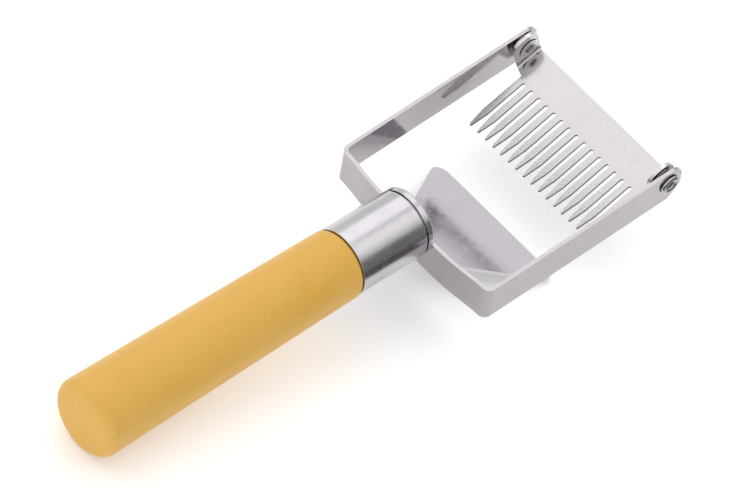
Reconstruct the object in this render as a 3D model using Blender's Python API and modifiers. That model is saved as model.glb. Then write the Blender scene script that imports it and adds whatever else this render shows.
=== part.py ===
"""Honey uncapping fork: a bent steel frame on a moulded grip, with a guide plate and a tilting comb.

Tool frame: X is the width, +Y runs from the butt of the grip to the comb, +Z is up.
Its origin is on the mid plane, at the back bar's corners and at the bottom edge of the frame strip.
The whole tool is then laid at rest: it leans on the guide plate's front edge and the butt of the grip.
The world origin is on the supporting plane, at the middle of the tool's footprint.
"""
import math

import bmesh
import bpy
from mathutils import Matrix, Vector

MM = 0.001
GAP = 0.3 * MM                  # clearance between pieces that touch on the real tool

# Frame strip: one U-shaped bent band
FRAME_WIDTH = 75.0 * MM
ARM_LENGTH = 88.6 * MM
STRIP_HEIGHT = 15.1 * MM
STRIP_THICK = 1.3 * MM
CORNER_RADIUS = 2.8 * MM        # outer radius of the two bends
BAR_BOW = 1.8 * MM              # the back bar bows this far towards the grip
BAR_FLAT = 14.0 * MM            # half width of its flat middle, where it is bolted to the tang
ARM_TOP_RADIUS = 4.5 * MM
ARM_CHAMFER = 5.0 * MM          # at the bottom of each arm's front end
CHAMFER_RADIUS = 2.5 * MM

# Grip and ferrule, coaxial on the handle axis, which rises towards the butt.
# A position along the axis is negative behind the frame strip's corners.
AXIS_Z = 18.0 * MM              # where the axis crosses the plane of the back bar's corners
HANDLE_TILT = math.radians(3.0)
FERRULE_RADIUS = 12.5 * MM
FERRULE_FRONT_Y = -5.7 * MM
FERRULE_WALL = 0.9 * MM
FERRULE_EDGE = 0.5 * MM
GRIP_SHOULDER_Y = -34.4 * MM
GRIP_BUTT_Y = -149.0 * MM
GRIP_FRONT_RADIUS = 12.8 * MM
GRIP_BUTT_RADIUS = 14.5 * MM
GRIP_FRONT_ROUND = 1.6 * MM
GRIP_BUTT_ROUND = 4.0 * MM
GRIP_DOME = 0.6 * MM

# Tang: a round cap against the back bar, a plug that fills the ferrule's front end,
# and a barbed rod into the grip
CAP_RADIUS = 12.4 * MM
CAP_FRONT_Y = -2.4 * MM
CAP_BACK_Y = -5.1 * MM
CAP_EDGE = 0.9 * MM
PLUG_BACK_Y = -12.0 * MM
TANG_RADIUS = 3.6 * MM
TANG_END_Y = -78.0 * MM
BARBS = 5
BARB_DEPTH = 0.5 * MM
BARB_FLAT = 2.0 * MM
BARB_RISE = 1.0 * MM
BARB_PITCH = 9.0 * MM
BARB_START = 10.0 * MM          # from the plug's back to the first barb

# Bolt that holds the plate's tab and the back bar to the plug
BOLT_Z = 9.4 * MM
BOLT_RADIUS = 2.0 * MM
BOLT_HEAD_RADIUS = 3.5 * MM
BOLT_HEAD_HEIGHT = 1.8 * MM
BOLT_END_Y = -9.5 * MM
BOLT_SLOT = 0.9 * MM            # width and depth of the screwdriver slot
HOLE_CLEAR = 0.3 * MM           # radial clearance of the bolt's holes

# Guide plate: a trapezoid that falls away forwards from a tab bolted to the back bar
PLATE_THICK = 1.2 * MM
PLATE_FRONT_Y = 42.7 * MM
PLATE_FRONT_Z = -20.3 * MM
PLATE_HALF_FRONT = 31.5 * MM
PLATE_HALF_TAB = 8.5 * MM
PLATE_CORNER = 4.0 * MM
TAB_TOP_Z = 14.0 * MM
TAB_CORNER = 2.5 * MM
TAB_FOOT = 1.5 * MM             # the chamfered sides begin this far down the slope
PLATE_BEND = 3.0 * MM           # outer radius of the bend between the tab and the slope
PLATE_TURN_Z = -1.0 * MM        # height at which the tab would meet the slope with no bend radius

# Comb: one sheet with sixteen teeth and two ears, hinged on the rivets
TEETH = 16
PITCH = 3.86 * MM
TOOTH_WIDTH = 2.35 * MM
TOOTH_TIP_WIDTH = 0.7 * MM
TOOTH_TAPER = 7.0 * MM
TIP_ROUND = 0.35 * MM
SHEET = 1.2 * MM
COMB_SLOPE = math.radians(17.5)
HINGE_Y = 83.0 * MM
HINGE_Z = 8.8 * MM
COMB_DROP = 5.5 * MM            # from the hinge axis down to the sheet's upper face
COMB_TIP_U = -32.0 * MM         # along the slope, from the hinge
COMB_ROOT_U = -8.5 * MM
COMB_FAR_U = 4.2 * MM
EAR_REAR_U = -5.4 * MM
EAR_FRONT_U = 4.6 * MM
EAR_REAR_LEAN = math.radians(-9.0)
EAR_FRONT_LEAN = math.radians(2.0)
EAR_TOP = 7.4 * MM              # above the hinge axis, square to the sheet
EAR_ROUND = 4.5 * MM
BEND_INNER = 1.0 * MM
WASHER_THICK = 0.7 * MM

# Pivots: one tubular rivet and one friction washer a side
RIVET_SHANK = 2.6 * MM
RIVET_BORE = 1.7 * MM
RIVET_HEAD = 4.0 * MM
RIVET_HEAD_THICK = 0.9 * MM
WASHER_RADIUS = 3.9 * MM
PIVOT_CLEAR = 0.3 * MM

ROUND_STEPS = 48
HOLE_STEPS = 32
PIN_STEPS = 36
HAIR = 0.01 * MM                # keeps a cutter's face off the face it would otherwise share

for old in list(bpy.data.objects):
    bpy.data.objects.remove(old, do_unlink=True)

scene = bpy.context.scene
parts = bpy.data.collections.new("hive_tool")
cutters = bpy.data.collections.new("cutters")
scene.collection.children.link(parts)
scene.collection.children.link(cutters)
cutters.hide_render = True

# Axes of an outline's own X and Y, and of its depth, in the tool frame
PLAN = Matrix.Identity(4)
SIDE = Matrix(((0, 0, 1, 0), (1, 0, 0, 0), (0, 1, 0, 0), (0, 0, 0, 1)))
FRONT = Matrix(((1, 0, 0, 0), (0, 0, -1, 0), (0, 1, 0, 0), (0, 0, 0, 1)))
ALONG_Y = Matrix(((1, 0, 0, 0), (0, 0, 1, 0), (0, -1, 0, 0), (0, 0, 0, 1)))
ALONG_X = Matrix(((0, 0, 1, 0), (0, 1, 0, 0), (-1, 0, 0, 0), (0, 0, 0, 1)))


def material(name, colour, roughness, metallic):
    made = bpy.data.materials.new(name)
    made.use_nodes = True
    shader = made.node_tree.nodes["Principled BSDF"]
    shader.inputs["Base Color"].default_value = (*colour, 1.0)
    shader.inputs["Roughness"].default_value = roughness
    shader.inputs["Metallic"].default_value = metallic
    return made


def place(name, mesh, collection, shade=None):
    made = bpy.data.objects.new(name, mesh)
    collection.objects.link(made)
    if collection is cutters:
        made.hide_render = True
        made.display_type = "WIRE"
    if shade:
        mesh.materials.append(shade)
    return made


def outline_mesh(name, loops, depth, frame):
    """A flat outline, given as closed loops, thickened by depth about its own plane."""
    curve = bpy.data.curves.new(name, "CURVE")
    curve.dimensions = "2D"
    curve.fill_mode = "BOTH"
    curve.extrude = depth / 2
    for loop in loops:
        spline = curve.splines.new("POLY")
        spline.points.add(len(loop) - 1)
        for point, (a, b) in zip(spline.points, loop):
            point.co = (a, b, 0.0, 1.0)
        spline.use_cyclic_u = True
    holder = bpy.data.objects.new(name + "_outline", curve)
    scene.collection.objects.link(holder)
    depsgraph = bpy.context.evaluated_depsgraph_get()
    mesh = bpy.data.meshes.new_from_object(holder.evaluated_get(depsgraph))
    bpy.data.objects.remove(holder, do_unlink=True)
    made = bmesh.new()
    made.from_mesh(mesh)
    bmesh.ops.remove_doubles(made, verts=made.verts, dist=1e-6)
    bmesh.ops.recalc_face_normals(made, faces=made.faces)
    made.to_mesh(mesh)
    made.free()
    mesh.materials.clear()
    mesh.transform(frame)
    mesh.name = name
    return mesh


def turned(name, profile, closed, frame, collection, shade=None, steps=ROUND_STEPS):
    """A profile in (radius, height) turned about the frame's third axis."""
    mesh = bpy.data.meshes.new(name)
    made = bmesh.new()
    verts = [made.verts.new((r, 0.0, h)) for r, h in profile]
    for first, second in zip(verts, verts[1:]):
        made.edges.new((first, second))
    if closed:
        made.edges.new((verts[-1], verts[0]))
    made.to_mesh(mesh)
    made.free()
    piece = place(name, mesh, collection, shade)
    screw = piece.modifiers.new("Screw", "SCREW")
    screw.axis = "Z"
    screw.steps = steps
    screw.render_steps = steps
    screw.use_merge_vertices = True
    screw.merge_threshold = 0.000005
    screw.use_smooth_shade = True
    piece.matrix_local = frame
    return piece


def cut(piece, cutter, operation="DIFFERENCE"):
    step = piece.modifiers.new(operation.title(), "BOOLEAN")
    step.operation = operation
    step.solver = "EXACT"
    step.object = cutter
    return step


def arc(cx, cy, radius, start, end, steps):
    """Points on an arc, ends included; the angles are in degrees."""
    found = []
    for i in range(steps + 1):
        a = math.radians(start + (end - start) * i / steps)
        found.append((cx + radius * math.cos(a), cy + radius * math.sin(a)))
    return found


def rounded(corners, steps=6):
    """A closed polygon given as (x, y, radius), with each corner rounded."""
    found = []
    count = len(corners)
    for i, (x, y, radius) in enumerate(corners):
        here = Vector((x, y))
        before = Vector(corners[i - 1][:2]) - here
        after = Vector(corners[(i + 1) % count][:2]) - here
        before.normalize()
        after.normalize()
        if radius <= 0:
            found.append((x, y))
            continue
        half = before.angle(after) / 2
        centre = here + (before + after).normalized() * radius / math.sin(half)
        first = here + before * radius / math.tan(half) - centre
        last = here + after * radius / math.tan(half) - centre
        start = math.atan2(first.y, first.x)
        sweep = math.atan2(last.y, last.x) - start
        sweep = (sweep + math.pi) % (2 * math.pi) - math.pi
        for k in range(steps + 1):
            a = start + sweep * k / steps
            found.append((centre.x + radius * math.cos(a), centre.y + radius * math.sin(a)))
    return found


def strip_outline(path, thick):
    """Closed outline of a sheet of the given thickness to the left of an open path."""
    offset = []
    for i, (x, y) in enumerate(path):
        ahead = path[min(i + 1, len(path) - 1)]
        behind = path[max(i - 1, 0)]
        dx = ahead[0] - behind[0]
        dy = ahead[1] - behind[1]
        length = math.hypot(dx, dy)
        offset.append((x - dy / length * thick, y + dx / length * thick))
    return path + offset[::-1]


def pin_cutter(name, radius, length, frame):
    mesh = bpy.data.meshes.new(name)
    made = bmesh.new()
    bmesh.ops.create_cone(
        made, cap_ends=True, segments=HOLE_STEPS, radius1=radius, radius2=radius, depth=length)
    made.to_mesh(mesh)
    made.free()
    mesh.transform(frame)
    return place(name, mesh, cutters)


POLISHED = (0.72, 0.71, 0.73)
steel_frame = material("frame_steel", POLISHED, 0.22, 1.0)
steel_plate = material("plate_steel", POLISHED, 0.14, 1.0)
steel_comb = material("comb_steel", POLISHED, 0.18, 1.0)
steel_ferrule = material("ferrule_steel", (0.74, 0.74, 0.77), 0.2, 1.0)
steel_rivet = material("rivet_steel", (0.66, 0.66, 0.69), 0.25, 1.0)
steel_bolt = material("bolt_steel", (0.6, 0.6, 0.63), 0.32, 1.0)
grip_plastic = material("grip_plastic", (0.82, 0.46, 0.06), 0.5, 0.0)

# Root of the tool frame, turned at the end so that the tool lies at rest
root = bpy.data.objects.new("tool_frame", None)
scene.collection.objects.link(root)

# Frame strip: a U in plan, trimmed at the arm ends
half = FRAME_WIDTH / 2
bow_run = half - CORNER_RADIUS - BAR_FLAT
BOW_STEPS = 10
left_bar = []
for i in range(1, BOW_STEPS + 1):
    s = i / BOW_STEPS
    left_bar.append((-half + CORNER_RADIUS + bow_run * s, -BAR_BOW * math.sin(s * math.pi / 2) ** 1.4))
right_bar = [(-x, y) for x, y in reversed(left_bar)]
left_corner = arc(-half + CORNER_RADIUS, CORNER_RADIUS, CORNER_RADIUS, 180, 270, 9)
right_corner = [(-x, y) for x, y in reversed(left_corner)]
arm_over = 5 * MM
strip_path = [(-half, ARM_LENGTH + arm_over)] + left_corner + left_bar
strip_path += right_bar + right_corner + [(half, ARM_LENGTH + arm_over)]
frame_band = place(
    "frame_band",
    outline_mesh("frame_band", [strip_outline(strip_path, STRIP_THICK)], STRIP_HEIGHT,
                 Matrix.Translation((0, 0, STRIP_HEIGHT / 2)) @ PLAN),
    parts, steel_frame)
bar_outer_y = -BAR_BOW
bar_inner_y = bar_outer_y + STRIP_THICK

# Arm ends: rounded above, chamfered below
arm_end = rounded([
    (-arm_over, -arm_over, 0),
    (ARM_LENGTH - ARM_CHAMFER - arm_over, -arm_over, 0),
    (ARM_LENGTH, ARM_CHAMFER, CHAMFER_RADIUS),
    (ARM_LENGTH, STRIP_HEIGHT + HAIR, ARM_TOP_RADIUS),
    (ARM_LENGTH - 3 * arm_over, STRIP_HEIGHT + HAIR, 0),
    (ARM_LENGTH - 3 * arm_over, STRIP_HEIGHT + arm_over, 0),
    (-arm_over, STRIP_HEIGHT + arm_over, 0),
])
arm_side = place(
    "arm_side_view", outline_mesh("arm_side_view", [arm_end], 2 * FRAME_WIDTH, SIDE), cutters)
cut(frame_band, arm_side, "INTERSECT")

axis_frame = Matrix.Translation((0, 0, AXIS_Z)) @ Matrix.Rotation(-HANDLE_TILT, 4, "X") @ ALONG_Y
bolt_frame = Matrix.Translation((0, 0, BOLT_Z)) @ ALONG_Y
bolt_hole = pin_cutter("bolt_hole", BOLT_RADIUS + HOLE_CLEAR, -2 * (BOLT_END_Y - MM), bolt_frame)
cut(frame_band, bolt_hole)
hinge_frame = Matrix.Translation((0, HINGE_Y, HINGE_Z))
arm_holes = pin_cutter("arm_holes", RIVET_SHANK + PIVOT_CLEAR, 2 * FRAME_WIDTH, hinge_frame @ ALONG_X)
cut(frame_band, arm_holes)

# Tang: turned cap, plug and rod
bore = FERRULE_RADIUS - FERRULE_WALL
plug_radius = bore - GAP
tang_profile = [(0.0, CAP_FRONT_Y)]
tang_profile += arc(CAP_RADIUS - CAP_EDGE, CAP_FRONT_Y - CAP_EDGE, CAP_EDGE, 90, 0, 6)
tang_profile += [
    (CAP_RADIUS, CAP_BACK_Y),
    (plug_radius, CAP_BACK_Y),
    (plug_radius, PLUG_BACK_Y),
    (TANG_RADIUS, PLUG_BACK_Y),
]
for i in range(BARBS):
    barb_y = PLUG_BACK_Y - BARB_START - i * BARB_PITCH
    tang_profile += [
        (TANG_RADIUS, barb_y),
        (TANG_RADIUS - BARB_DEPTH, barb_y),
        (TANG_RADIUS - BARB_DEPTH, barb_y - BARB_FLAT),
        (TANG_RADIUS, barb_y - BARB_FLAT - BARB_RISE),
    ]
tang_profile += [
    (TANG_RADIUS, TANG_END_Y + TANG_RADIUS),
    (TANG_RADIUS / 3, TANG_END_Y),
    (0.0, TANG_END_Y),
]
handle_tang = turned("handle_tang", tang_profile, False, axis_frame, parts, steel_ferrule)
cut(handle_tang, bolt_hole)

# Ferrule: a plain tube over the plug and the grip's neck
back_y = GRIP_SHOULDER_Y + GAP
edge_y = FERRULE_FRONT_Y - FERRULE_EDGE
ferrule_profile = [(bore, FERRULE_FRONT_Y)]
ferrule_profile += arc(FERRULE_RADIUS - FERRULE_EDGE, edge_y, FERRULE_EDGE, 90, 0, 4)
ferrule_profile += [(FERRULE_RADIUS, back_y), (bore, back_y)]
ferrule = turned("ferrule", ferrule_profile, True, axis_frame, parts, steel_ferrule)

# Grip: neck inside the ferrule, shoulder, taper and slightly domed butt, with a blind bore for the tang
neck_radius = bore - GAP
neck_front_y = PLUG_BACK_Y - GAP
neck_chamfer = 0.6 * MM
bore_radius = TANG_RADIUS + GAP
bore_end_y = TANG_END_Y - 2 * MM
taper_start = GRIP_SHOULDER_Y - GRIP_FRONT_ROUND
taper_end = GRIP_BUTT_Y + GRIP_DOME + GRIP_BUTT_ROUND
grip_profile = [
    (0.0, bore_end_y),
    (bore_radius, bore_end_y),
    (bore_radius, neck_front_y),
    (neck_radius - neck_chamfer, neck_front_y),
    (neck_radius, neck_front_y - neck_chamfer),
    (neck_radius, GRIP_SHOULDER_Y),
]
grip_profile += arc(GRIP_FRONT_RADIUS - GRIP_FRONT_ROUND, taper_start, GRIP_FRONT_ROUND, 90, 0, 6)
TAPER_STEPS = 8
for i in range(1, TAPER_STEPS):
    s = i / TAPER_STEPS
    radius = GRIP_FRONT_RADIUS + (GRIP_BUTT_RADIUS - GRIP_FRONT_RADIUS) * s
    grip_profile.append((radius, taper_start + (taper_end - taper_start) * s))
grip_profile += arc(GRIP_BUTT_RADIUS - GRIP_BUTT_ROUND, taper_end, GRIP_BUTT_ROUND, 0, -84, 10)
dome_radius, dome_y = grip_profile[-1]
DOME_STEPS = 4
for i in range(1, DOME_STEPS + 1):
    radius = dome_radius * (1 - i / DOME_STEPS)
    grip_profile.append((radius, GRIP_BUTT_Y + (dome_y - GRIP_BUTT_Y) * (radius / dome_radius) ** 2))
grip = turned("grip", grip_profile, False, axis_frame, parts, grip_plastic)

# Guide plate: side view of the sheet, then trimmed to its plan and to the tab's round top
tab_y = bar_inner_y + GAP
fall_y = PLATE_FRONT_Y - tab_y
fall_z = PLATE_TURN_Z - (PLATE_FRONT_Z - PLATE_THICK)
plate_angle = math.atan2(fall_z, fall_y)
plate_length = math.hypot(fall_y, fall_z)
plate_over = 4 * MM
slope_y = math.cos(plate_angle)
slope_z = -math.sin(plate_angle)
plate_reach = plate_length + plate_over
plate_side = rounded([
    (tab_y, TAB_TOP_Z + plate_over, 0),
    (tab_y, PLATE_TURN_Z, PLATE_BEND),
    (tab_y + slope_y * plate_reach, PLATE_TURN_Z + slope_z * plate_reach, 0),
])
guide_plate = place(
    "guide_plate",
    outline_mesh("guide_plate", [strip_outline(plate_side, PLATE_THICK)], 3 * PLATE_HALF_FRONT, SIDE),
    parts, steel_plate)
slope_frame = Matrix.Translation((0, tab_y, PLATE_TURN_Z)) @ Matrix.Rotation(-plate_angle, 4, "X")
tab_over = 2 * TAB_TOP_Z
plan_view = rounded([
    (-PLATE_HALF_TAB, -tab_over, 0),
    (PLATE_HALF_TAB, -tab_over, 0),
    (PLATE_HALF_TAB, TAB_FOOT, TAB_FOOT),
    (PLATE_HALF_FRONT, plate_length, PLATE_CORNER),
    (-PLATE_HALF_FRONT, plate_length, PLATE_CORNER),
    (-PLATE_HALF_TAB, TAB_FOOT, TAB_FOOT),
])
plate_plan = place(
    "plate_plan_view", outline_mesh("plate_plan_view", [plan_view], 6 * TAB_TOP_Z, slope_frame), cutters)
cut(guide_plate, plate_plan, "INTERSECT")
tab_front = rounded([
    (-FRAME_WIDTH, -FRAME_WIDTH, 0),
    (FRAME_WIDTH, -FRAME_WIDTH, 0),
    (FRAME_WIDTH, TAB_TOP_Z / 2, 0),
    (PLATE_HALF_TAB + HAIR, TAB_TOP_Z / 2, 0),
    (PLATE_HALF_TAB + HAIR, TAB_TOP_Z, TAB_CORNER),
    (-PLATE_HALF_TAB - HAIR, TAB_TOP_Z, TAB_CORNER),
    (-PLATE_HALF_TAB - HAIR, TAB_TOP_Z / 2, 0),
    (-FRAME_WIDTH, TAB_TOP_Z / 2, 0),
])
tab_top = place(
    "tab_front_view", outline_mesh("tab_front_view", [tab_front], 4 * ARM_LENGTH, FRONT), cutters)
cut(guide_plate, tab_top, "INTERSECT")
cut(guide_plate, bolt_hole)

# Bolt: low domed head with a slot, and a plain shank
head_y = tab_y + PLATE_THICK + GAP
bolt_chamfer = 0.4 * MM
HEAD_ARC = 7
bolt_profile = []
for i in range(HEAD_ARC + 1):
    a = math.radians(90 * i / HEAD_ARC)
    rise = (BOLT_HEAD_HEIGHT - bolt_chamfer) * math.cos(a)
    bolt_profile.append((BOLT_HEAD_RADIUS * math.sin(a), head_y + bolt_chamfer + rise))
bolt_profile += [
    (BOLT_HEAD_RADIUS, head_y),
    (BOLT_RADIUS, head_y),
    (BOLT_RADIUS, BOLT_END_Y + bolt_chamfer),
    (BOLT_RADIUS - bolt_chamfer, BOLT_END_Y),
    (0.0, BOLT_END_Y),
]
frame_bolt = turned("frame_bolt", bolt_profile, False, bolt_frame, parts, steel_bolt, PIN_STEPS)
slot_half = BOLT_SLOT / 2
slot_floor = head_y + BOLT_HEAD_HEIGHT - BOLT_SLOT
slot_side = [
    (slot_floor, BOLT_Z - slot_half),
    (slot_floor + 2 * BOLT_HEAD_HEIGHT, BOLT_Z - slot_half),
    (slot_floor + 2 * BOLT_HEAD_HEIGHT, BOLT_Z + slot_half),
    (slot_floor, BOLT_Z + slot_half),
]
bolt_slot = place(
    "bolt_slot", outline_mesh("bolt_slot", [slot_side], 4 * BOLT_HEAD_RADIUS, SIDE), cutters)
cut(frame_bolt, bolt_slot)

# Comb, in its own frame on the hinge axis: X across, Y up the slope, Z square to the sheet
comb_hinge = bpy.data.objects.new("comb_hinge", None)
scene.collection.objects.link(comb_hinge)
comb_hinge.parent = root
comb_hinge.matrix_local = hinge_frame @ Matrix.Rotation(COMB_SLOPE, 4, "X")
arm_inner = half - STRIP_THICK
ear_outer = arm_inner - WASHER_THICK - 2 * GAP
ear_inner = ear_outer - SHEET
sheet_top = -COMB_DROP
sheet_low = sheet_top - SHEET
ear_over = EAR_TOP + 4 * MM
channel = rounded([
    (-ear_outer, ear_over, 0),
    (-ear_outer, sheet_low, BEND_INNER + SHEET),
    (ear_outer, sheet_low, BEND_INNER + SHEET),
    (ear_outer, ear_over, 0),
], 5)
comb_over = 8 * MM
comb_run = COMB_FAR_U - COMB_TIP_U + 2 * comb_over
channel_frame = Matrix.Translation((0, (COMB_FAR_U + COMB_TIP_U) / 2, 0)) @ FRONT
comb_plate = place(
    "comb_plate",
    outline_mesh("comb_plate", [strip_outline(channel, SHEET)], comb_run, channel_frame),
    parts, steel_comb)

slot_half_width = (PITCH - TOOTH_WIDTH) / 2
slot_centre_u = COMB_ROOT_U - slot_half_width
taper_u = COMB_TIP_U + TOOTH_TAPER
tooth_edge = (TEETH - 1) / 2 * PITCH + TOOTH_WIDTH / 2
comb_plan = [(-tooth_edge, EAR_REAR_U - 2 * MM)]
for i in range(TEETH):
    x = (i - (TEETH - 1) / 2) * PITCH
    comb_plan += [
        (x - TOOTH_WIDTH / 2, taper_u),
        (x - TOOTH_TIP_WIDTH / 2, COMB_TIP_U + TIP_ROUND),
        (x, COMB_TIP_U),
        (x + TOOTH_TIP_WIDTH / 2, COMB_TIP_U + TIP_ROUND),
        (x + TOOTH_WIDTH / 2, taper_u),
    ]
    if i < TEETH - 1:
        comb_plan += arc(x + PITCH / 2, slot_centre_u, slot_half_width, 180, 0, 6)
wing = ear_outer + MM
relief = ear_inner - BEND_INNER / 2
comb_plan += [
    (tooth_edge, EAR_REAR_U - 2 * MM),
    (wing, EAR_REAR_U),
    (wing, COMB_FAR_U + comb_over - MM),
    (relief, COMB_FAR_U + comb_over - MM),
    (relief, COMB_FAR_U),
    (-relief, COMB_FAR_U),
    (-relief, COMB_FAR_U + comb_over - MM),
    (-wing, COMB_FAR_U + comb_over - MM),
    (-wing, EAR_REAR_U),
]
comb_teeth = place(
    "comb_plan_view", outline_mesh("comb_plan_view", [comb_plan], 6 * EAR_TOP, PLAN), cutters)
cut(comb_plate, comb_teeth, "INTERSECT")

ear_rise = EAR_TOP - sheet_top
ear_side = rounded([
    (COMB_TIP_U - comb_over / 2, sheet_low - 2 * MM, 0),
    (EAR_FRONT_U, sheet_low - 2 * MM, 0),
    (EAR_FRONT_U + ear_rise * math.tan(EAR_FRONT_LEAN), EAR_TOP, EAR_ROUND),
    (EAR_REAR_U + ear_rise * math.tan(EAR_REAR_LEAN), EAR_TOP, EAR_ROUND),
    (EAR_REAR_U, sheet_top + MM, 0),
    (COMB_TIP_U - comb_over / 2, sheet_top + MM, 0),
])
comb_side = place(
    "comb_side_view", outline_mesh("comb_side_view", [ear_side], 2 * FRAME_WIDTH, SIDE), cutters)
cut(comb_plate, comb_side, "INTERSECT")
ear_holes = pin_cutter("ear_holes", RIVET_SHANK + PIVOT_CLEAR, 2 * FRAME_WIDTH, ALONG_X)
cut(comb_plate, ear_holes)

# Pivots: a rolled tubular rivet through arm, washer and ear on each side
head_middle = (RIVET_BORE + RIVET_HEAD) / 2
head_half = (RIVET_HEAD - RIVET_BORE) / 2
outer_face = half + GAP
inner_face = ear_inner - GAP
HEAD_STEPS = 8
outer_roll = []
for i in range(HEAD_STEPS + 1):
    a = math.pi * (1 - i / HEAD_STEPS)
    outer_roll.append((head_middle + head_half * math.cos(a), RIVET_HEAD_THICK * math.sin(a)))
rivet_profile = [(r, outer_face + h) for r, h in outer_roll]
rivet_profile += [(RIVET_SHANK, outer_face), (RIVET_SHANK, inner_face)]
rivet_profile += [(r, inner_face - h) for r, h in reversed(outer_roll)]
washer_profile = [
    (RIVET_SHANK + PIVOT_CLEAR, ear_outer + GAP + WASHER_THICK),
    (WASHER_RADIUS, ear_outer + GAP + WASHER_THICK),
    (WASHER_RADIUS, ear_outer + GAP),
    (RIVET_SHANK + PIVOT_CLEAR, ear_outer + GAP),
]
for side, frame in (("right", ALONG_X), ("left", Matrix.Rotation(math.pi, 4, "Z") @ ALONG_X)):
    turned("pivot_rivet_" + side, rivet_profile, True, hinge_frame @ frame, parts, steel_rivet, PIN_STEPS)
    turned("pivot_washer_" + side, washer_profile, True, hinge_frame @ frame, parts, steel_rivet, PIN_STEPS)

# Everything rides the tool frame, and the comb and its cutters ride the hinge
on_hinge = {comb_plate, comb_teeth, comb_side, ear_holes}
for piece in list(parts.objects) + list(cutters.objects):
    piece.parent = comb_hinge if piece in on_hinge else root

# Lay the tool down: the plate's lower front edge and the rounded butt are both at height 0
rounding = Vector((0, GRIP_BUTT_RADIUS - GRIP_BUTT_ROUND, taper_end))
butt = axis_frame @ rounding
toe = Vector((0, tab_y + slope_y * plate_length, PLATE_TURN_Z + slope_z * plate_length))
reach = butt - toe
tilt = math.atan2(reach.y, reach.z) + math.acos(GRIP_BUTT_ROUND / math.hypot(reach.y, reach.z))
lift = -(toe.y * math.sin(tilt) + toe.z * math.cos(tilt))
root.matrix_local = Matrix.Translation((0, 0, lift)) @ Matrix.Rotation(tilt, 4, "X")
bpy.context.view_layer.update()

# Slide it along Y until its footprint is centred on the world origin
depsgraph = bpy.context.evaluated_depsgraph_get()
reaches = []
for piece in parts.objects:
    final = piece.evaluated_get(depsgraph)
    reaches += [(final.matrix_world @ vert.co).y for vert in final.data.vertices]
root.location.y -= (min(reaches) + max(reaches)) / 2
bpy.context.view_layer.update()
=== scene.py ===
from collections import namedtuple
from math import radians

import bmesh
import bpy
from mathutils import Euler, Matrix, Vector


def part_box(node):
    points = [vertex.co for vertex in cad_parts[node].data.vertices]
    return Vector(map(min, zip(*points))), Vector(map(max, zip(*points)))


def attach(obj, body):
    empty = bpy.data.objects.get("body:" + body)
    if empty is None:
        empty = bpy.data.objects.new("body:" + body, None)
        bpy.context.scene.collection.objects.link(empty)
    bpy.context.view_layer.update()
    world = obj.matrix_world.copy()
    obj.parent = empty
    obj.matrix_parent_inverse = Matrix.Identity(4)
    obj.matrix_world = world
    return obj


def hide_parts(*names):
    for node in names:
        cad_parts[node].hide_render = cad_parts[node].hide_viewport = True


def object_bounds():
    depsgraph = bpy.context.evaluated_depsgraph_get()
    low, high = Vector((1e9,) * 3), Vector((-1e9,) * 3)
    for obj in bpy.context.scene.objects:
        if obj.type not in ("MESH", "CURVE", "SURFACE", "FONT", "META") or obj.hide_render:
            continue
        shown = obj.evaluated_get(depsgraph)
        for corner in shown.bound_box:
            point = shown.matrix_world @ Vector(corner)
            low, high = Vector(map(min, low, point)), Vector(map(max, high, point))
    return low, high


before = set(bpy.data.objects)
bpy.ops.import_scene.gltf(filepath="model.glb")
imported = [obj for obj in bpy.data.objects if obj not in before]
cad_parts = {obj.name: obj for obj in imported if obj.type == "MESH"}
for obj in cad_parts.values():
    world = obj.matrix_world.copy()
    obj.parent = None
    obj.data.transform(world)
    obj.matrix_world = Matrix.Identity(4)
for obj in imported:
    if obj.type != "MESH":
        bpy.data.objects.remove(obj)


def corners():
    """Lowest and highest corner of the whole object, as plain numbers."""
    low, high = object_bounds()
    return [[float(v) for v in low], [float(v) for v in high]]


BOX_AT_START = corners()
LOW = Vector(BOX_AT_START[0])
HIGH = Vector(BOX_AT_START[1])
MIDDLE = (LOW + HIGH) / 2
MM = 0.001

# Finely rounded copies of the CAD solids.
WELD_DISTANCE = 2e-6
FLAT_ANGLE = radians(0.6)
BEVEL_STEPS = 3
BEVEL_FROM_ANGLE = radians(28.0)
COMB_INNER_X = 32 * MM

# The rivets' rolled heads, pressed nearly flush inside the ears.
RIVET_BORE = 1.7 * MM
RIVET_HEAD_THICK = 0.9 * MM
PRESSED_HEIGHT = 0.3
PRESSED_WIDTH = 0.55

# The comb's teeth point along -Y. Their ends are ground rough over this length.
TIP_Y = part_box("comb_plate")[0].y
GROUND_FULL = 0.5 * MM
GROUND_LENGTH = 22 * MM
GROUND_WANDER = 2.6 * MM

# Sockets of the mix node, which has one set for numbers and one for colours.
MIX_AMOUNT = 0
MIX_NUMBERS, MIX_NUMBER_OUT = (2, 3), 0
MIX_COLOURS, MIX_COLOUR_OUT = (6, 7), 2

# ---------------------------------------------------------------- node trees


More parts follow.
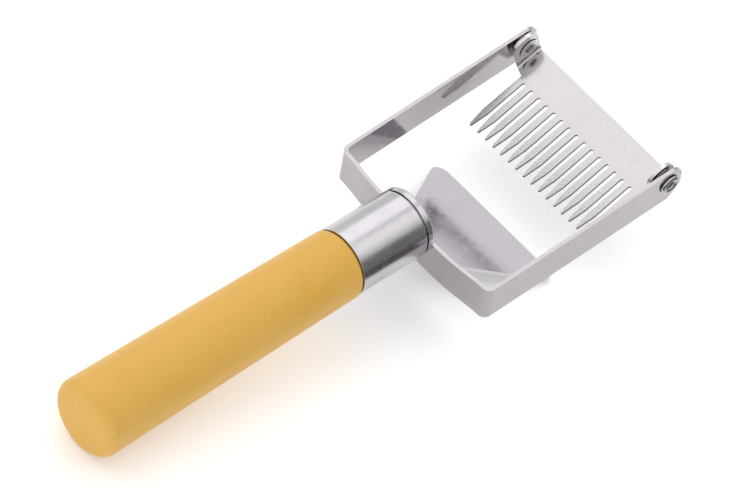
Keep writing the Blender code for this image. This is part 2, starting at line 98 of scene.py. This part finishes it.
class Tree:
    """One material and its nodes, started from the shader's plain values."""

    def __init__(self, name, colour, metallic, roughness):
        self.material = bpy.data.materials.new(name)
        self.material.use_nodes = True
        self.nodes = self.material.node_tree.nodes
        self.links = self.material.node_tree.links
        self.shader = self.nodes["Principled BSDF"]
        self.set(self.shader, "Base Color", colour)
        self.set(self.shader, "Metallic", metallic)
        self.set(self.shader, "Roughness", roughness)
        self.coords = self.nodes.new("ShaderNodeTexCoord").outputs["Object"]
        self.material.diffuse_color = colour
        self.bumps = None

    def set(self, node, socket, value):
        """Puts a constant or a link on a node's input, given by name or number."""
        if isinstance(value, bpy.types.NodeSocket):
            self.links.new(value, node.inputs[socket])
        else:
            node.inputs[socket].default_value = value

    def fed(self, socket):
        """What is linked to one of the shader's inputs so far."""
        return self.shader.inputs[socket].links[0].from_socket

    def mapped(self, scale, turn=(0, 0, 0)):
        """Object coordinates turned, then stretched by scale (per metre)."""
        turned = self.nodes.new("ShaderNodeMapping")
        turned.vector_type = "POINT"
        self.set(turned, "Vector", self.coords)
        self.set(turned, "Rotation", turn)
        stretched = self.nodes.new("ShaderNodeMapping")
        stretched.vector_type = "POINT"
        self.set(stretched, "Vector", turned.outputs[0])
        self.set(stretched, "Scale", scale)
        return stretched.outputs[0]

    def noise(self, vector, detail, roughness=0.55, distortion=0.0):
        """Soft noise at the scale that mapped() has given the vector."""
        node = self.nodes.new("ShaderNodeTexNoise")
        self.set(node, "Vector", vector)
        self.set(node, "Scale", 1.0)
        self.set(node, "Detail", detail)
        self.set(node, "Roughness", roughness)
        self.set(node, "Distortion", distortion)
        return node.outputs["Fac"]

    def cells(self, vector):
        """Round dimples at the scale that mapped() has given the vector."""
        node = self.nodes.new("ShaderNodeTexVoronoi")
        self.set(node, "Vector", vector)
        self.set(node, "Scale", 1.0)
        return node.outputs["Distance"]

    def spread(self, value, low, high, to_low, to_high):
        """Maps low..high onto to_low..to_high, held at both ends."""
        node = self.nodes.new("ShaderNodeMapRange")
        self.set(node, "Value", value)
        self.set(node, "From Min", low)
        self.set(node, "From Max", high)
        self.set(node, "To Min", to_low)
        self.set(node, "To Max", to_high)
        return node.outputs["Result"]

    def marks(self, scale, turn, distortion, low, high):
        """Sparse curved lines, 1 on the peaks of a stretched noise and 0 elsewhere."""
        peaks = self.noise(self.mapped(scale, turn), detail=2.0, distortion=distortion)
        return self.spread(peaks, low, high, 0.0, 1.0)

    def sums(self, kind, first, second):
        """Adds (held to 0..1), subtracts or multiplies."""
        node = self.nodes.new("ShaderNodeMath")
        node.operation = kind
        node.use_clamp = kind == "ADD"
        self.set(node, 0, first)
        self.set(node, 1, second)
        return node.outputs[0]

    def mix(self, amount, first, second):
        """The first colour where amount is 0 and the second where it is 1."""
        node = self.nodes.new("ShaderNodeMix")
        node.data_type = "RGBA"
        self.set(node, MIX_AMOUNT, amount)
        self.set(node, MIX_COLOURS[0], first)
        self.set(node, MIX_COLOURS[1], second)
        return node.outputs[MIX_COLOUR_OUT]

    def tint(self, base, marks, strength, colour):
        """Lets a colour show through the base where the marks are."""
        return self.mix(self.sums("MULTIPLY", marks, strength), base, colour)

    def bump(self, height, distance):
        """Stacks a bump of the given height (metres) on the ones before it."""
        node = self.nodes.new("ShaderNodeBump")
        self.set(node, "Height", height)
        self.set(node, "Distance", distance)
        self.set(node, "Strength", 1.0)
        if self.bumps is not None:
            self.set(node, "Normal", self.bumps)
        self.bumps = node.outputs[0]
        self.set(self.shader, "Normal", self.bumps)

    def edges(self, radius, low, high):
        """0 on faces and 1 along worn edges, from the bend of the surface."""
        bevel = self.nodes.new("ShaderNodeBevel")
        bevel.samples = 4
        self.set(bevel, "Radius", radius)
        geometry = self.nodes.new("ShaderNodeNewGeometry")
        dot = self.nodes.new("ShaderNodeVectorMath")
        dot.operation = "DOT_PRODUCT"
        self.set(dot, 0, bevel.outputs[0])
        self.set(dot, 1, geometry.outputs["Normal"])
        return self.spread(dot.outputs["Value"], high, low, 0.0, 1.0)


# The grain is the density of the lines along X, Y and Z, so they run along the
# axis with the lowest number. The depth is in millimetres.
Finish = namedtuple("Finish", "name colour dark roughness grain depth scratches")

FRAME_FINISH = Finish(
    name="frame_brushed_steel", colour=(0.455, 0.425, 0.45, 1), dark=(0.405, 0.375, 0.40, 1),
    roughness=0.10, grain=(260, 260, 5200), depth=0.0022, scratches=0.5)
PLATE_FINISH = Finish(
    name="plate_polished_steel", colour=(0.635, 0.60, 0.64, 1), dark=(0.58, 0.545, 0.585, 1),
    roughness=0.15, grain=(3600, 140, 140), depth=0.0014, scratches=0.5)
COMB_FINISH = Finish(
    name="comb_ground_steel", colour=(0.62, 0.59, 0.605, 1), dark=(0.56, 0.53, 0.545, 1),
    roughness=0.13, grain=(3400, 170, 170), depth=0.0012, scratches=0.5)
FERRULE_FINISH = Finish(
    name="ferrule_satin_steel", colour=(0.56, 0.54, 0.565, 1), dark=(0.49, 0.47, 0.495, 1),
    roughness=0.21, grain=(2400, 45, 2400), depth=0.0014, scratches=0.18)
RIVET_FINISH = Finish(
    name="rivet_bright_steel", colour=(0.60, 0.585, 0.60, 1), dark=(0.46, 0.45, 0.46, 1),
    roughness=0.30, grain=(900, 2600, 2600), depth=0.003, scratches=0.8)
BOLT_FINISH = Finish(
    name="bolt_zinc_steel", colour=(0.55, 0.56, 0.60, 1), dark=(0.42, 0.43, 0.47, 1),
    roughness=0.27, grain=(2600, 700, 2600), depth=0.003, scratches=0.8)

FINER = 3.1
SCRATCHED = (0.93, 0.93, 0.94, 1)
WORN_STEEL = (0.90, 0.90, 0.92, 1)
GROUND_GREY = (0.26, 0.26, 0.265, 1)
# Painted shade: the dark grey put on the punched side walls between the teeth.
CUT_EDGE_PAINTED_SHADE = (0.17, 0.17, 0.175, 1)
GRIP_HIGH = (0.70, 0.405, 0.072, 1)
GRIP_LOW = (0.665, 0.365, 0.044, 1)
GRIP_GRAIN = (0.90, 0.60, 0.22, 1)
GRIP_RUBBED = (0.92, 0.66, 0.30, 1)
GRIP_WORN = (0.90, 0.62, 0.26, 1)


def steel(finish):
    """Stainless sheet or rod: brushing lines, smudges, fine scratches and worn edges."""
    tree = Tree(finish.name, finish.colour, 1.0, finish.roughness)
    lines = tree.noise(tree.mapped(finish.grain), detail=5.0, roughness=0.62)
    fine = tree.noise(tree.mapped([v * FINER for v in finish.grain]), detail=3.0)
    cloud = tree.noise(tree.mapped((46, 46, 46)), detail=5.0, roughness=0.6, distortion=0.4)
    smudge = tree.noise(tree.mapped((150, 120, 150)), detail=4.0, distortion=1.2)
    first = tree.marks((210, 900, 340), (0.4, 0.9, 0.55), 0.5, 0.70, 0.76)
    crossing = tree.marks((820, 190, 420), (1.1, 0.3, 2.2), 0.5, 0.71, 0.77)
    scratches = tree.sums("MULTIPLY", tree.sums("ADD", first, crossing), finish.scratches)
    worn = tree.edges(0.25 * MM, 0.90, 0.985)
    uneven = tree.sums("ADD", tree.sums("MULTIPLY", lines, 0.5), tree.sums("MULTIPLY", cloud, 0.5))
    base = tree.mix(tree.spread(uneven, 0.34, 0.66, 0.0, 1.0), finish.dark, finish.colour)
    base = tree.tint(base, scratches, 0.35, SCRATCHED)
    base = tree.tint(base, worn, 0.55, WORN_STEEL)
    tree.set(tree.shader, "Base Color", base)
    brushed = tree.spread(lines, 0.3, 0.7, finish.roughness * 0.75, finish.roughness * 1.2)
    rough = tree.sums("ADD", brushed, tree.spread(smudge, 0.45, 0.75, 0.0, 0.10))
    rough = tree.sums("ADD", rough, tree.sums("MULTIPLY", scratches, 0.16))
    tree.set(tree.shader, "Roughness", rough)
    tree.bump(lines, finish.depth * MM)
    tree.bump(fine, finish.depth * 0.4 * MM)
    tree.bump(scratches, -0.004 * MM)
    return tree


def comb_steel():
    """Polished sheet with punched edges, which are rougher and painted dark as shade between the teeth, and
    grey, coarsely ground tooth tips.
    """
    tree = steel(COMB_FINISH)
    punched_and_shaded = tree.nodes.new("ShaderNodeAttribute")
    punched_and_shaded.attribute_name = "punched_edge_and_shade"
    place = tree.nodes.new("ShaderNodeSeparateXYZ")
    tree.set(place, 0, tree.coords)
    speck = tree.noise(tree.mapped((2300, 2300, 2300)), detail=3.0, roughness=0.7)
    uneven = tree.noise(tree.mapped((330, 120, 330)), detail=2.0)
    wander = tree.spread(uneven, 0.3, 0.7, 0.0, GROUND_WANDER)
    along = tree.sums("SUBTRACT", place.outputs["Y"], wander)
    ground = tree.spread(along, TIP_Y + GROUND_FULL, TIP_Y + GROUND_LENGTH, 1.0, 0.12)
    specks = tree.sums("MULTIPLY", ground, tree.spread(speck, 0.42, 0.62, 0.25, 1.0))
    base = tree.tint(tree.fed("Base Color"), specks, 0.75, GROUND_GREY)
    # Painted shade: the punched side walls between the teeth are darkened here. The same mask makes them
    # rougher below.
    base = tree.mix(punched_and_shaded.outputs["Fac"], base, CUT_EDGE_PAINTED_SHADE)
    tree.set(tree.shader, "Base Color", base)
    rough = tree.sums("ADD", tree.fed("Roughness"), tree.sums("MULTIPLY", specks, 0.25))
    rough = tree.sums("ADD", rough, tree.sums("MULTIPLY", punched_and_shaded.outputs["Fac"], 0.28))
    tree.set(tree.shader, "Roughness", rough)
    tree.bump(tree.sums("MULTIPLY", speck, ground), 0.012 * MM)
    return tree


def grip_plastic():
    """Satin moulded plastic: fine grain, faint mottling and handling marks."""
    tree = Tree("grip_satin_plastic", GRIP_HIGH, 0.0, 0.42)
    mottle = tree.noise(tree.mapped((38, 24, 38)), detail=5.0, roughness=0.6, distortion=0.6)
    grain = tree.noise(tree.mapped((1900, 1900, 1900)), detail=3.0, roughness=0.6)
    dimples = tree.cells(tree.mapped((720, 720, 720)))
    wave = tree.noise(tree.mapped((130, 60, 130)), detail=2.0)
    rubs = tree.marks((900, 130, 700), (0.5, 0.25, 0.8), 0.7, 0.69, 0.76)
    worn = tree.edges(0.8 * MM, 0.86, 0.985)
    colour = tree.mix(tree.spread(mottle, 0.35, 0.65, 0.0, 1.0), GRIP_LOW, GRIP_HIGH)
    colour = tree.tint(colour, tree.spread(grain, 0.35, 0.7, 0.0, 1.0), 0.16, GRIP_GRAIN)
    colour = tree.tint(colour, rubs, 0.25, GRIP_RUBBED)
    colour = tree.tint(colour, worn, 0.3, GRIP_WORN)
    tree.set(tree.shader, "Base Color", colour)
    handled = tree.sums("MULTIPLY", tree.sums("ADD", rubs, worn), 0.08)
    rough = tree.sums("ADD", tree.spread(mottle, 0.3, 0.7, 0.38, 0.50), handled)
    tree.set(tree.shader, "Roughness", rough)
    tree.set(tree.shader, "Specular IOR Level", 0.42)
    tree.set(tree.shader, "Subsurface Weight", 0.03)
    tree.set(tree.shader, "Subsurface Radius", (1.0, 0.45, 0.15))
    tree.set(tree.shader, "Subsurface Scale", 0.9 * MM)
    tree.bump(wave, 0.05 * MM)
    tree.bump(dimples, 0.012 * MM)
    tree.bump(grain, 0.010 * MM)
    return tree


# ------------------------------------------------------------------- pieces


def mark_cut_edges(shape, inner_x):
    """Marks the narrow punched faces between the ears, which turn away from the sheet. The mark makes them
    rougher and paints shade on them.
    """
    largest = max(shape.faces, key=lambda face: face.calc_area() * (abs(face.normal.x) < 0.5))
    sheet = largest.normal.copy()
    layer = shape.faces.layers.float.new("punched_edge_and_shade")
    for face in shape.faces:
        across = abs(face.normal.dot(sheet)) < 0.5
        face[layer] = float(across and abs(face.calc_center_median().x) < inner_x)


def press_head(shape, face_x, axis):
    """Flattens and narrows the rolled head inside the ear until it is nearly flush."""
    for vert in shape.verts:
        side = 1 if vert.co.x > 0 else -1
        height = face_x - abs(vert.co.x)
        if height > 0:
            spoke = Vector((0, vert.co.y - axis.y, vert.co.z - axis.z))
            reach = RIVET_BORE + (spoke.length - RIVET_BORE) * PRESSED_WIDTH
            place = spoke.normalized() * reach
            vert.co = (side * (face_x - height * PRESSED_HEIGHT), axis.y + place.y, axis.z + place.z)


def detailed(node, name, body, material, bevel, inner_x=None, pressed=None):
    """A finely rounded copy of a CAD node that stands in its place."""
    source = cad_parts[node]
    mesh = source.data.copy()
    mesh.name = name
    shape = bmesh.new()
    shape.from_mesh(mesh)
    bmesh.ops.remove_doubles(shape, verts=shape.verts, dist=WELD_DISTANCE)
    bmesh.ops.dissolve_limit(shape, angle_limit=FLAT_ANGLE, verts=shape.verts, edges=shape.edges)
    bmesh.ops.recalc_face_normals(shape, faces=shape.faces)
    for face in shape.faces:
        face.smooth = True
    if inner_x is not None:
        mark_cut_edges(shape, inner_x)
    if pressed is not None:
        press_head(shape, *pressed)
    shape.to_mesh(mesh)
    shape.free()
    mesh.materials.clear()
    mesh.materials.append(material)
    piece = bpy.data.objects.new(name, mesh)
    bpy.context.scene.collection.objects.link(piece)
    piece.matrix_world = source.matrix_world.copy()
    rounding = piece.modifiers.new("rounded_edges", "BEVEL")
    rounding.width = bevel
    rounding.segments = BEVEL_STEPS
    rounding.limit_method = "ANGLE"
    rounding.angle_limit = BEVEL_FROM_ANGLE
    rounding.harden_normals = True
    rounding.use_clamp_overlap = True
    weighted = piece.modifiers.new("even_shading", "WEIGHTED_NORMAL")
    weighted.keep_sharp = True
    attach(piece, body)
    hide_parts(node)


FRAME_STEEL = steel(FRAME_FINISH).material
PLATE_STEEL = steel(PLATE_FINISH).material
COMB_STEEL = comb_steel().material
FERRULE_STEEL = steel(FERRULE_FINISH).material
RIVET_STEEL = steel(RIVET_FINISH).material
BOLT_STEEL = steel(BOLT_FINISH).material
GRIP_PLASTIC = grip_plastic().material

detailed("frame_band", "bent_frame", "handle", FRAME_STEEL, 0.16 * MM)
detailed("guide_plate", "sloping_guide", "handle", PLATE_STEEL, 0.16 * MM)
detailed("comb_plate", "toothed_comb", "comb", COMB_STEEL, 0.12 * MM, inner_x=COMB_INNER_X)
detailed("ferrule", "ferrule_tube", "handle", FERRULE_STEEL, 0.12 * MM)
detailed("handle_tang", "cap_and_tang", "handle", FERRULE_STEEL, 0.12 * MM)
detailed("frame_bolt", "slotted_bolt", "handle", BOLT_STEEL, 0.10 * MM)
detailed("grip", "plastic_grip", "handle", GRIP_PLASTIC, 0.15 * MM)
for side in ("left", "right"):
    low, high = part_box("pivot_rivet_" + side)
    ear_face = min(abs(low.x), abs(high.x)) + RIVET_HEAD_THICK
    detailed("pivot_rivet_" + side, "hollow_rivet_" + side, "handle", RIVET_STEEL, 0.12 * MM,
             pressed=(ear_face, (low + high) / 2))
    detailed("pivot_washer_" + side, "thin_washer_" + side, "handle", RIVET_STEEL, 0.08 * MM)

# -------------------------------------------------------------- floor, lights

FLOOR_HALF = 40.0
FLOOR_DROP = 0.0002
FLOOR_GLOW = 0.22

CARD_RISE = 0.0004
CARD_GAP = 0.026
CARD_FAR = 3.0
CARD_SHADE = 0.10

# Name, place, width, height and power of each softbox.
SOFTBOXES = (
    ("left_softbox", (-1.30, 0.95, 2.3), 1.5, 2.4, 8),
    ("right_softbox", (1.05, 0.95, 2.1), 1.4, 2.4, 5),
    ("front_softbox", (-0.85, -0.60, 2.1), 1.9, 1.9, 4.6),
)

STUDIO_STRENGTH = 0.95
DARK_SIDE = (0.87, 0.49, 0.02)
DARK_SIDE_STRENGTH = 0.22
DARK_SIDE_START = 0.55
DARK_SIDE_FULL = 0.95
BACKDROP_STRENGTH = 1.0


def flat(name, tree, corner, glow, strength):
    """A flat stage piece with four corners that glows and doesn't shine."""
    mesh = bpy.data.meshes.new(name)
    mesh.from_pydata(corner, [], [(0, 1, 2, 3)])
    piece = bpy.data.objects.new(name, mesh)
    bpy.context.scene.collection.objects.link(piece)
    tree.set(tree.shader, "Specular IOR Level", 0.0)
    tree.set(tree.shader, "Emission Color", glow)
    tree.set(tree.shader, "Emission Strength", strength)
    mesh.materials.append(tree.material)
    return piece


def floor():
    """A white floor just under the object."""
    level = LOW.z - FLOOR_DROP
    corner = [(x * FLOOR_HALF, y * FLOOR_HALF, level) for x, y in ((-1, -1), (1, -1), (1, 1), (-1, 1))]
    flat("pale_floor", Tree("floor_white", (0.90, 0.90, 0.90, 1), 0.0, 0.9), corner, (1, 1, 1, 1), FLOOR_GLOW)


def dark_card():
    """A card lying beside the object on +X, which only polished surfaces see, as a dark reflection."""
    near, level = HIGH.x + CARD_GAP, LOW.z + CARD_RISE
    corner = [(near, LOW.y, level), (CARD_FAR, LOW.y, level),
              (CARD_FAR, CARD_FAR, level), (near, CARD_FAR, level)]
    glow = (CARD_SHADE, CARD_SHADE, CARD_SHADE * 1.04, 1)
    card = flat("dark_card", Tree("dark_card", (0, 0, 0, 1), 0.0, 1.0), corner, glow, 1.0)
    card.visible_camera = False
    card.visible_diffuse = False
    card.visible_shadow = False


def softbox(name, place, width, height, watts):
    """A rectangular light that faces the object's middle."""
    light = bpy.data.lights.new(name, "AREA")
    light.shape = "RECTANGLE"
    light.size = width
    light.size_y = height
    light.energy = watts
    holder = bpy.data.objects.new(name, light)
    holder.location = place
    holder.rotation_euler = (MIDDLE - Vector(place)).to_track_quat("-Z", "Y").to_euler()
    holder.visible_camera = False
    bpy.context.scene.collection.objects.link(holder)


def studio_world():
    """White all round and dimmer towards one side, except where the camera sees it directly."""
    world = bpy.data.worlds.new("studio")
    bpy.context.scene.world = world
    world.use_nodes = True
    nodes = world.node_tree.nodes
    links = world.node_tree.links
    backdrop = nodes["Background"]
    around = nodes.new("ShaderNodeTexCoord").outputs["Generated"]
    toward = nodes.new("ShaderNodeVectorMath")
    toward.operation = "DOT_PRODUCT"
    links.new(around, toward.inputs[0])
    toward.inputs[1].default_value = DARK_SIDE
    dim = nodes.new("ShaderNodeMapRange")
    dim.interpolation_type = "SMOOTHSTEP"
    links.new(toward.outputs["Value"], dim.inputs["Value"])
    dim.inputs["From Min"].default_value = DARK_SIDE_START
    dim.inputs["From Max"].default_value = DARK_SIDE_FULL
    dim.inputs["To Min"].default_value = STUDIO_STRENGTH
    dim.inputs["To Max"].default_value = DARK_SIDE_STRENGTH
    ray = nodes.new("ShaderNodeLightPath")
    seen = nodes.new("ShaderNodeMix")
    seen.data_type = "FLOAT"
    links.new(ray.outputs["Is Camera Ray"], seen.inputs[MIX_AMOUNT])
    links.new(dim.outputs["Result"], seen.inputs[MIX_NUMBERS[0]])
    seen.inputs[MIX_NUMBERS[1]].default_value = BACKDROP_STRENGTH
    links.new(seen.outputs[MIX_NUMBER_OUT], backdrop.inputs["Strength"])
    backdrop.inputs["Color"].default_value = (1.0, 1.0, 1.0, 1)


floor()
dark_card()
for box in SOFTBOXES:
    softbox(*box)
studio_world()

# ------------------------------------------------------------------- camera

SENSOR_WIDTH = 36.0
FOCAL_LENGTH = 551.661
CAMERA_PLACE = (1.46374, -2.23204, 2.76477)
CAMERA_TURN = (0.744672, -0.236717, 0.827116)
CLIP_NEAR = 0.05
CLIP_FAR = 120.0

camera = bpy.data.cameras.new("studio_camera")
camera.sensor_fit = "HORIZONTAL"
camera.sensor_width = SENSOR_WIDTH
camera.lens = FOCAL_LENGTH
camera.clip_start = CLIP_NEAR
camera.clip_end = CLIP_FAR
eye = bpy.data.objects.new("studio_camera", camera)
eye.location = CAMERA_PLACE
eye.rotation_euler = Euler(CAMERA_TURN, "XYZ")
bpy.context.scene.collection.objects.link(eye)
bpy.context.scene.camera = eye
bpy.context.scene.view_settings.view_transform = "Standard"
